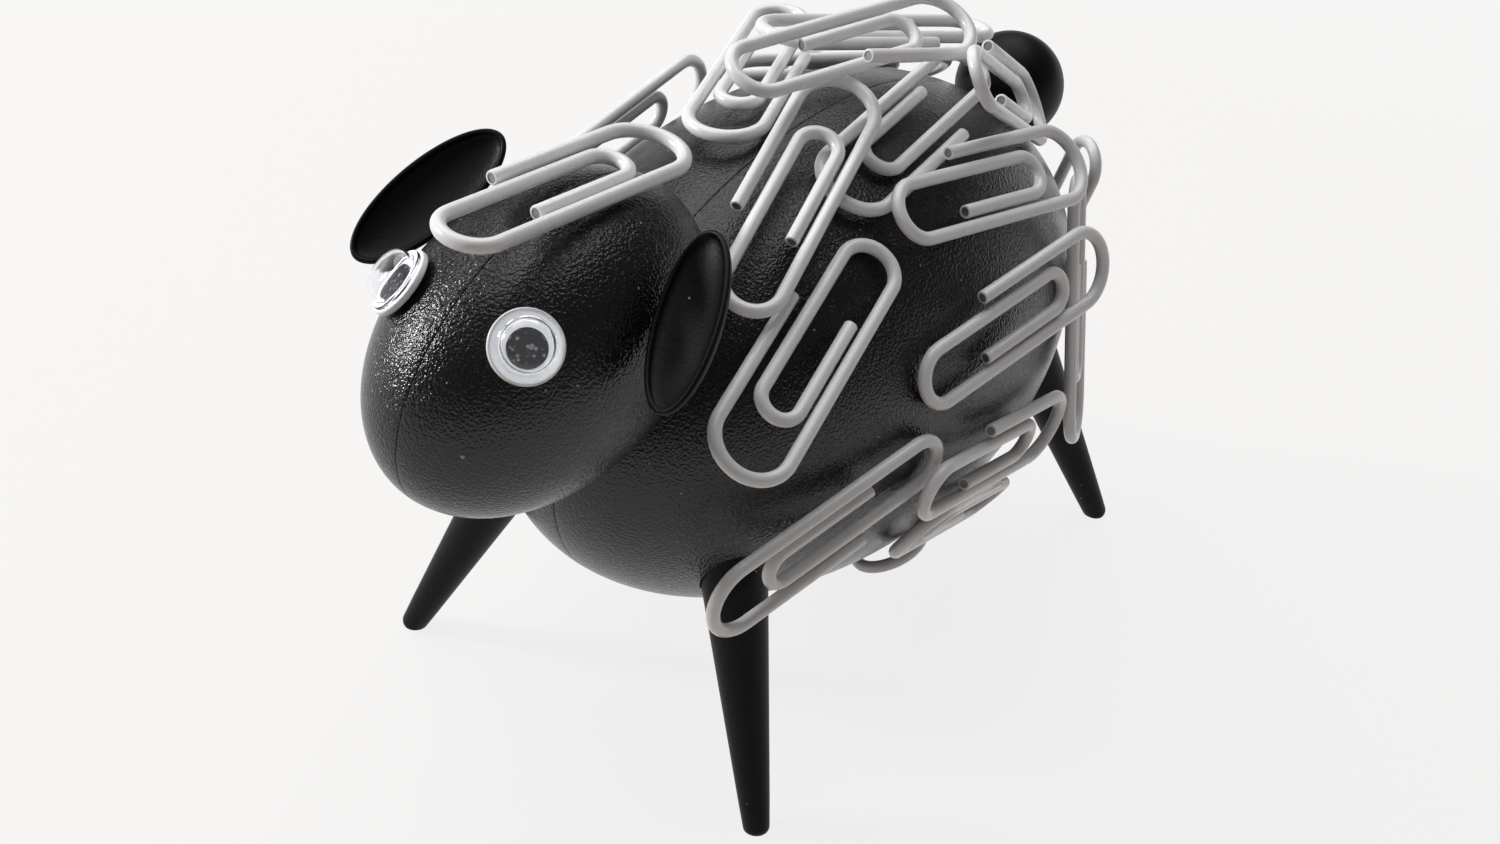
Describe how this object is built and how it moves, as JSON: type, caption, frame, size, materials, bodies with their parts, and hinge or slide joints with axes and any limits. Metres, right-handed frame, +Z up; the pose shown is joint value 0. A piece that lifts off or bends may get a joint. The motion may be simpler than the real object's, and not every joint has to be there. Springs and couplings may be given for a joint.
{
  "type": "magnetic paper clip holder",
  "caption": "Sheep-shaped desk holder: hollow black body and head with magnets inside, peg legs, ears, ball tail and wobbly eyes, with coated wire paper clips clinging to it as wool.",
  "frame": {"origin": "middle of the bounding box, on the ground", "axes": "+Z up, -Y towards the nose, +X towards the sheep's left side"},
  "size_m": [0.053, 0.0994, 0.0648],
  "materials": {
    "black_plastic": "moulded ABS with a fine leather grain, satin",
    "clip_vinyl": "steel wire with a glossy white vinyl coat",
    "eye_white": "glossy white sheet plastic",
    "eye_clear": "clear thin moulded plastic dome",
    "eye_pupil": "loose black disc, slightly dusty",
    "magnet": "dark sintered ferrite"
  },
  "bodies": {
    "holder": {"body_shell_left": "black_plastic", "head_shell_left": "black_plastic", "ear_left": "black_plastic", "leg_front_left": "black_plastic", "leg_rear_left": "black_plastic", "magnet_upper_left": "magnet", "magnet_side_left": "magnet", "eye_backing_left": "eye_white", "eye_dome_left": "eye_clear", "body_shell_right": "black_plastic", "head_shell_right": "black_plastic", "ear_right": "black_plastic", "leg_front_right": "black_plastic", "leg_rear_right": "black_plastic", "magnet_upper_right": "magnet", "magnet_side_right": "magnet", "eye_backing_right": "eye_white", "eye_dome_right": "eye_clear", "magnet_head": "magnet", "neck_pin": "black_plastic", "tail": "black_plastic"},
    "pupil_left": {"eye_pupil_left": "eye_pupil"},
    "pupil_right": {"eye_pupil_right": "eye_pupil"},
    "clip_01": {"clip_01": "clip_vinyl"},
    "clip_02": {"clip_02": "clip_vinyl"},
    "clip_03": {"clip_03": "clip_vinyl"},
    "clip_04": {"clip_04": "clip_vinyl"},
    "clip_05": {"clip_05": "clip_vinyl"},
    "clip_06": {"clip_06": "clip_vinyl"},
    "clip_07": {"clip_07": "clip_vinyl"},
    "clip_08": {"clip_08": "clip_vinyl"},
    "clip_09": {"clip_09": "clip_vinyl"},
    "clip_10": {"clip_10": "clip_vinyl"},
    "clip_11": {"clip_11": "clip_vinyl"},
    "clip_12": {"clip_12": "clip_vinyl"},
    "clip_13": {"clip_13": "clip_vinyl"},
    "clip_14": {"clip_14": "clip_vinyl"},
    "clip_15": {"clip_15": "clip_vinyl"},
    "clip_16": {"clip_16": "clip_vinyl"},
    "clip_17": {"clip_17": "clip_vinyl"},
    "clip_18": {"clip_18": "clip_vinyl"},
    "clip_19": {"clip_19": "clip_vinyl"},
    "clip_20": {"clip_20": "clip_vinyl"},
    "clip_21": {"clip_21": "clip_vinyl"},
    "clip_22": {"clip_22": "clip_vinyl"},
    "clip_23": {"clip_23": "clip_vinyl"},
    "clip_24": {"clip_24": "clip_vinyl"}
  },
  "joints": [
    {"name": "pupil_roll_left", "type": "hinge", "parent": "holder", "child": "pupil_left", "pos_m": [0.00754, -0.04231, 0.05439], "axis": [0.5675, -0.5211, 0.6375], "continuous": true},
    {"name": "pupil_roll_right", "type": "hinge", "parent": "holder", "child": "pupil_right", "pos_m": [-0.00482, -0.04231, 0.05439], "axis": [-0.5675, -0.5211, 0.6375], "continuous": true},
    {"name": "pull_01", "type": "slide", "parent": "holder", "child": "clip_01", "axis": [-0.9988, 0, 0.0499], "range_m": [0, 0.03]},
    {"name": "pull_02", "type": "slide", "parent": "holder", "child": "clip_02", "axis": [-0.76, -0.56, 0.33], "range_m": [0, 0.03]},
    {"name": "pull_03", "type": "slide", "parent": "holder", "child": "clip_03", "axis": [-0.7547, 0.4931, 0.4327], "range_m": [0, 0.03]},
    {"name": "pull_04", "type": "slide", "parent": "holder", "child": "clip_04", "axis": [0.9095, 0.3698, 0.1899], "range_m": [0, 0.03]},
    {"name": "pull_05", "type": "slide", "parent": "holder", "child": "clip_05", "axis": [0.8692, -0.0699, -0.4895], "range_m": [0, 0.03]},
    {"name": "pull_06", "type": "slide", "parent": "holder", "child": "clip_06", "axis": [0.2499, -0.6897, 0.6797], "range_m": [0, 0.03]},
    {"name": "pull_07", "type": "slide", "parent": "holder", "child": "clip_07", "axis": [0.9927, 0, -0.1203], "range_m": [0, 0.03]},
    {"name": "pull_08", "type": "slide", "parent": "holder", "child": "clip_08", "axis": [0.9374, -0.1396, 0.3191], "range_m": [0, 0.03]},
    {"name": "pull_09", "type": "slide", "parent": "holder", "child": "clip_09", "axis": [0.6918, -0.0201, 0.7218], "range_m": [0, 0.03]},
    {"name": "pull_10", "type": "slide", "parent": "holder", "child": "clip_10", "axis": [0.7724, -0.1705, 0.6119], "range_m": [0, 0.03]},
    {"name": "pull_11", "type": "slide", "parent": "holder", "child": "clip_11", "axis": [0.9734, -0.2107, 0.0903], "range_m": [0, 0.03]},
    {"name": "pull_12", "type": "slide", "parent": "holder", "child": "clip_12", "axis": [0.0796, 0.0597, 0.995], "range_m": [0, 0.03]},
    {"name": "pull_13", "type": "slide", "parent": "holder", "child": "clip_13", "axis": [-0.0402, 0.1708, 0.9845], "range_m": [0, 0.03]},
    {"name": "pull_14", "type": "slide", "parent": "holder", "child": "clip_14", "axis": [0.3915, -0.1104, 0.9135], "range_m": [0, 0.03]},
    {"name": "pull_15", "type": "slide", "parent": "holder", "child": "clip_15", "axis": [-0.888, 0.0299, -0.4589], "range_m": [0, 0.03]},
    {"name": "pull_16", "type": "slide", "parent": "holder", "child": "clip_16", "axis": [-0.4393, -0.2296, -0.8685], "range_m": [0, 0.03]},
    {"name": "pull_17", "type": "slide", "parent": "holder", "child": "clip_17", "axis": [-0.984, 0.1707, 0.0502], "range_m": [0, 0.03]},
    {"name": "pull_18", "type": "slide", "parent": "holder", "child": "clip_18", "axis": [-0.8718, -0.4209, 0.2505], "range_m": [0, 0.03]},
    {"name": "pull_19", "type": "slide", "parent": "holder", "child": "clip_19", "axis": [-0.867, 0.4883, 0.0997], "range_m": [0, 0.03]},
    {"name": "pull_20", "type": "slide", "parent": "holder", "child": "clip_20", "axis": [-0.5715, 0.371, 0.7319], "range_m": [0, 0.03]},
    {"name": "pull_21", "type": "slide", "parent": "holder", "child": "clip_21", "axis": [-0.5199, 0.2999, -0.7998], "range_m": [0, 0.03]},
    {"name": "pull_22", "type": "slide", "parent": "holder", "child": "clip_22", "axis": [0.4725, 0.1709, -0.8646], "range_m": [0, 0.03]},
    {"name": "pull_23", "type": "slide", "parent": "holder", "child": "clip_23", "axis": [0.5611, 0.8216, -0.1002], "range_m": [0, 0.03]},
    {"name": "pull_24", "type": "slide", "parent": "holder", "child": "clip_24", "axis": [0.7623, 0.4212, 0.4915], "range_m": [0, 0.03]}
  ]
}
